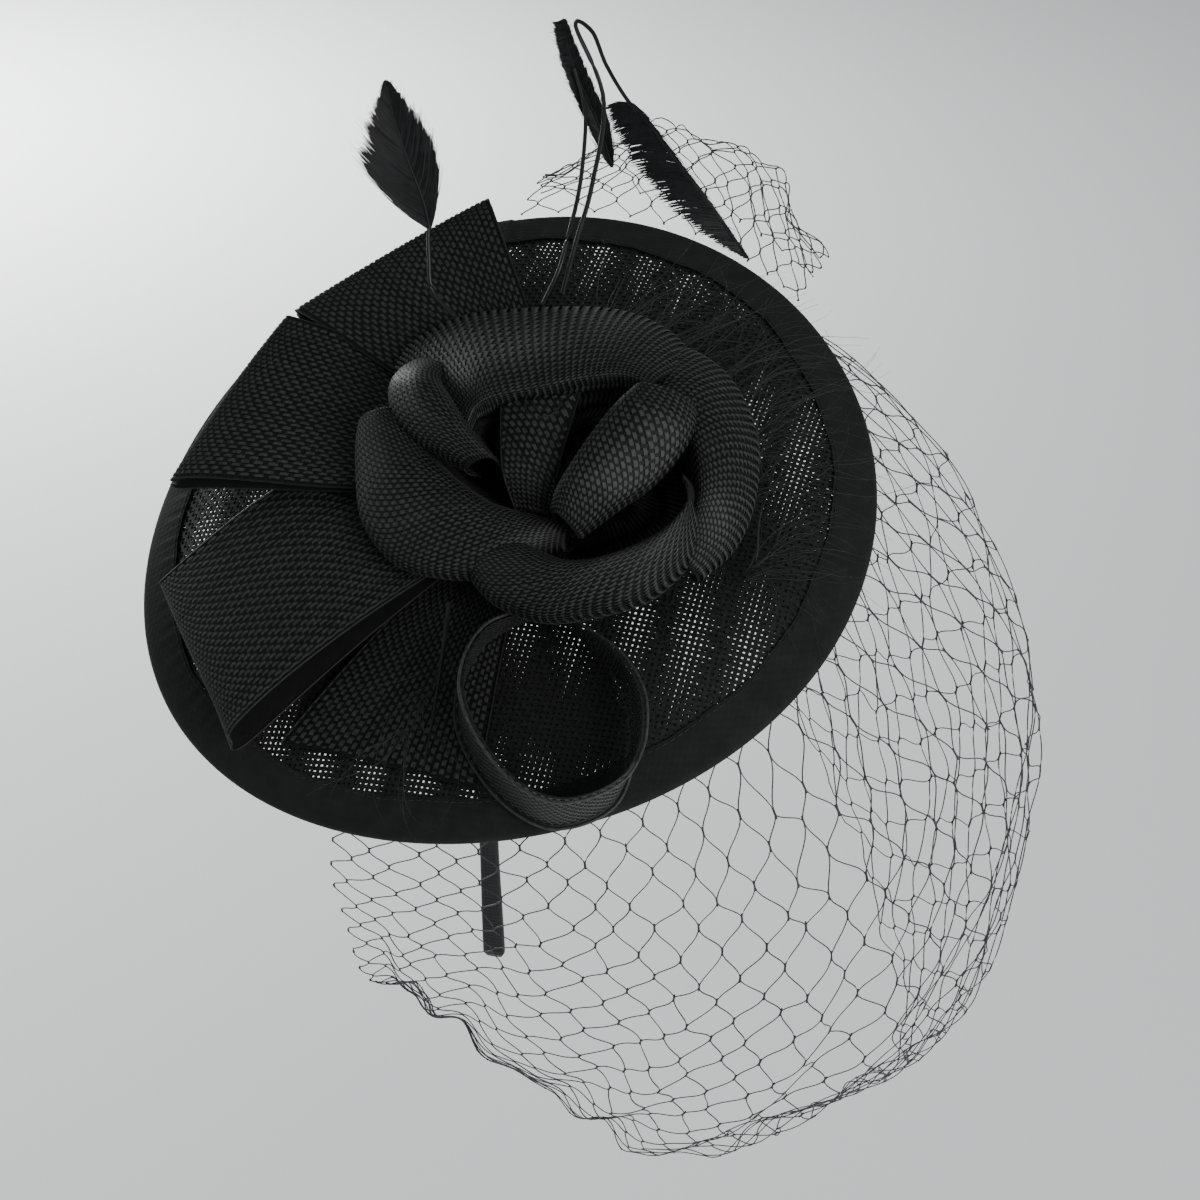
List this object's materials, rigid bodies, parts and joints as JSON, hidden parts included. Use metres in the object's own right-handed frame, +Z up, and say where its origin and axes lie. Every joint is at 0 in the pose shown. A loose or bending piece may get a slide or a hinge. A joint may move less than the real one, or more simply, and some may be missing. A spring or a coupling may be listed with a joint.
{
  "type": "fascinator headpiece",
  "caption": "Tilted woven saucer brim on a covered headband, with a ribbon and rolled rose trim, stripped feathers and a cage veil of open net.",
  "frame": {"origin": "crown point of the headband's inner face, where the band rests on the top of the head", "axes": "+Z up, -Y the way the wearer faces, -X the wearer's right, to which the brim tilts down"},
  "size_m": [0.2355, 0.288, 0.3551],
  "materials": {
    "sinamay": "matte open weave",
    "binding": "matte bias cloth",
    "satin": "satin",
    "steel": "plain",
    "felt": "felt",
    "feather": "soft barbs with a slight sheen",
    "quill": "smooth dyed horn",
    "net": "matte thread",
    "thread": "matte thread"
  },
  "bodies": {
    "crown": {"brim_disc": "sinamay", "brim_binding": "binding", "brim_wire": "steel", "felt_pad": "felt", "band_core_crown": "steel", "band_sleeve_crown": "satin", "band_stitch_1": "thread", "band_stitch_2": "thread", "band_stitch_3": "thread", "band_stitch_4": "thread", "tail_lower": "sinamay", "loop_left_lower": "sinamay", "loop_top": "sinamay", "loop_left_upper": "sinamay", "loop_round": "sinamay", "rose_base": "felt", "petal_outer_left": "sinamay", "petal_outer_bottom": "sinamay", "petal_outer_right": "sinamay", "petal_outer_top": "sinamay", "petal_left_roll": "sinamay", "petal_inner_right": "sinamay", "bud_wrap": "sinamay", "bud_core": "sinamay", "marabou_plume": "feather", "marabou_quill": "quill", "veil_heading": "thread", "veil_cage": "net", "veil_pouf": "net"},
    "arm_left": {"band_core_left": "steel", "band_sleeve_left": "satin", "band_tip_left": "satin"},
    "arm_right": {"band_core_right": "steel", "band_sleeve_right": "satin", "band_tip_right": "satin"},
    "feather_left": {"feather_left_quill": "quill", "feather_left_vane": "feather"},
    "feather_middle": {"feather_middle_quill": "quill", "feather_middle_vane": "feather"},
    "feather_right": {"feather_right_quill": "quill", "feather_right_vane": "feather"}
  },
  "joints": [
    {"name": "band_flex_left", "type": "hinge", "parent": "crown", "child": "arm_left", "pos_m": [0.06602, 0, -0.04333], "axis": [0, -1, 0], "range_deg": [-2, 12], "stiffness_Nm_per_rad": 0.5},
    {"name": "band_flex_right", "type": "hinge", "parent": "crown", "child": "arm_right", "pos_m": [-0.06602, 0, -0.04333], "axis": [0, 1, 0], "range_deg": [-2, 12], "stiffness_Nm_per_rad": 0.5},
    {"name": "feather_left_sway", "type": "hinge", "parent": "crown", "child": "feather_left", "pos_m": [-0.00597, 0.02765, 0.0507], "axis": [0, 1, 0], "range_deg": [-5, 5], "stiffness_Nm_per_rad": 0.01},
    {"name": "feather_middle_sway", "type": "hinge", "parent": "crown", "child": "feather_middle", "pos_m": [-0.00084, 0.00071, 0.05581], "axis": [0, 1, 0], "range_deg": [-5, 5], "stiffness_Nm_per_rad": 0.01},
    {"name": "feather_right_sway", "type": "hinge", "parent": "crown", "child": "feather_right", "pos_m": [0.0007, -0.00513, 0.05915], "axis": [0, 1, 0], "range_deg": [-5, 5], "stiffness_Nm_per_rad": 0.01}
  ]
}
